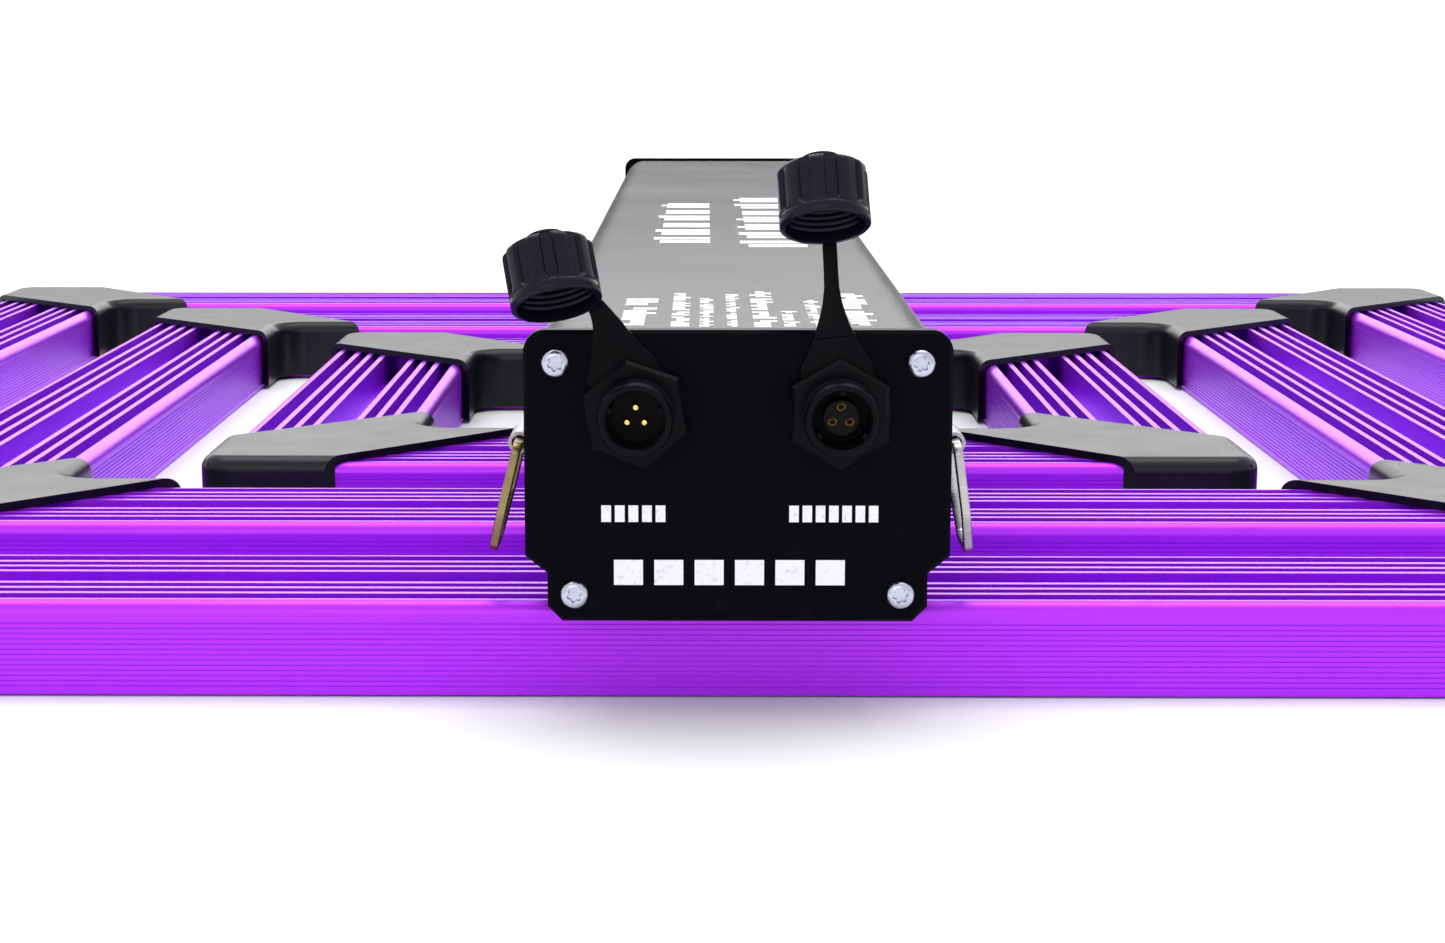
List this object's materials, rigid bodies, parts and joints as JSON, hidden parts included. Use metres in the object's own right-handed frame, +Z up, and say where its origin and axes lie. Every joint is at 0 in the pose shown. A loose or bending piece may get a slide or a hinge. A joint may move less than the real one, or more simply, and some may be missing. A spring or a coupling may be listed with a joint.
{
  "type": "led grow light",
  "caption": "Square horticultural lamp of nested ring-shaped finned bars lying face down, with a driver box across the top, capped signal sockets and swinging hanging rings.",
  "frame": {"origin": "centre of the nested rings on the plane the light lies on", "axes": "+X to the right seen from the socket end, +Y from the socket end to the power inlet end, +Z up, away from the lamps"},
  "size_m": [0.6376, 0.7046, 0.1154],
  "materials": {
    "bar_anodised": "satin purple anodising",
    "cover_plastic": "satin moulded",
    "key_metal": "plain",
    "screw_zinc": "bright zinc plate",
    "led_board": "white solder mask",
    "lens": "clear",
    "driver_paint": "fine texture powder coat",
    "plate_paint": "satin black coat",
    "gasket_rubber": "matte",
    "circuit_board": "green solder mask",
    "transformer": "varnished",
    "capacitor": "sleeved",
    "socket_plastic": "satin moulded",
    "insert_plastic": "moulded",
    "contact_gold": "gold flash",
    "tether_rubber": "smooth",
    "cap_plastic": "satin moulded",
    "hanger_metal": "zinc plate",
    "bracket_metal": "zinc plate"
  },
  "bodies": {
    "light": {"outer_front_bar": "bar_anodised", "outer_right_bar": "bar_anodised", "outer_back_bar": "bar_anodised", "outer_left_bar": "bar_anodised", "middle_front_bar": "bar_anodised", "middle_right_bar": "bar_anodised", "middle_back_bar": "bar_anodised", "middle_left_bar": "bar_anodised", "inner_front_bar": "bar_anodised", "inner_right_bar": "bar_anodised", "inner_back_bar": "bar_anodised", "inner_left_bar": "bar_anodised", "outer_front_left_cover": "cover_plastic", "outer_front_right_cover": "cover_plastic", "outer_back_right_cover": "cover_plastic", "outer_back_left_cover": "cover_plastic", "middle_front_left_cover": "cover_plastic", "middle_front_right_cover": "cover_plastic", "middle_back_right_cover": "cover_plastic", "middle_back_left_cover": "cover_plastic", "inner_front_left_cover": "cover_plastic", "inner_front_right_cover": "cover_plastic", "inner_back_right_cover": "cover_plastic", "inner_back_left_cover": "cover_plastic", "corner_keys": "key_metal", "corner_key_screws": "screw_zinc", "outer_led_boards": "led_board", "middle_led_boards": "led_board", "inner_led_boards": "led_board", "outer_lenses": "lens", "middle_lenses": "lens", "inner_lenses": "lens", "driver_housing": "driver_paint", "driver_front_plate": "plate_paint", "driver_rear_plate": "plate_paint", "end_plate_gaskets": "gasket_rubber", "end_plate_screws": "screw_zinc", "driver_board": "circuit_board", "driver_transformer": "transformer", "driver_capacitors": "capacitor", "driver_fixing_screws": "screw_zinc", "left_socket_shell": "socket_plastic", "left_socket_insert": "insert_plastic", "left_socket_pins": "contact_gold", "left_tether_ring": "tether_rubber", "right_socket_shell": "socket_plastic", "right_socket_insert": "insert_plastic", "right_socket_sleeves": "contact_gold", "right_tether_ring": "tether_rubber", "power_inlet_shell": "socket_plastic", "power_inlet_contacts": "contact_gold", "hanging_ring_brackets": "bracket_metal"},
    "left_tether": {"left_tether_strap": "tether_rubber"},
    "left_cap": {"left_dust_cap": "cap_plastic"},
    "right_tether": {"right_tether_strap": "tether_rubber"},
    "right_cap": {"right_dust_cap": "cap_plastic"},
    "front_left_ring": {"front_left_hanging_ring": "hanger_metal"},
    "front_right_ring": {"front_right_hanging_ring": "hanger_metal"},
    "back_left_ring": {"back_left_hanging_ring": "hanger_metal"},
    "back_right_ring": {"back_right_hanging_ring": "hanger_metal"}
  },
  "joints": [
    {"name": "left_cap_swing", "type": "hinge", "parent": "light", "child": "left_tether", "pos_m": [-0.02782, -0.3335, 0.07598], "axis": [0.8652, 0, 0.5015], "range_deg": [0, 78], "stiffness_Nm_per_rad": 0.02},
    {"name": "left_cap_turn", "type": "hinge", "parent": "left_tether", "child": "left_cap", "pos_m": [-0.03655, -0.34147, 0.09103], "axis": [-0.1853, 0.454, 0.8715], "continuous": true},
    {"name": "right_cap_swing", "type": "hinge", "parent": "light", "child": "right_tether", "pos_m": [0.01899, -0.3335, 0.07794], "axis": [0.9962, 0, 0.0872], "range_deg": [0, 116], "stiffness_Nm_per_rad": 0.02},
    {"name": "right_cap_turn", "type": "hinge", "parent": "right_tether", "child": "right_cap", "pos_m": [0.01655, -0.33607, 0.10584], "axis": [-0.0559, 0.454, 0.8892], "continuous": true},
    {"name": "front_left_ring_swing", "type": "hinge", "parent": "light", "child": "front_left_ring", "pos_m": [-0.0453, -0.308, 0.0537], "axis": [0, 1, 0], "range_deg": [-17, 136]},
    {"name": "front_right_ring_swing", "type": "hinge", "parent": "light", "child": "front_right_ring", "pos_m": [0.0453, -0.308, 0.0537], "axis": [0, -1, 0], "range_deg": [-11, 142]},
    {"name": "back_left_ring_swing", "type": "hinge", "parent": "light", "child": "back_left_ring", "pos_m": [-0.0453, 0.308, 0.0537], "axis": [0, 1, 0], "range_deg": [-3, 150]},
    {"name": "back_right_ring_swing", "type": "hinge", "parent": "light", "child": "back_right_ring", "pos_m": [0.0453, 0.308, 0.0537], "axis": [0, -1, 0], "range_deg": [-3, 150]}
  ]
}
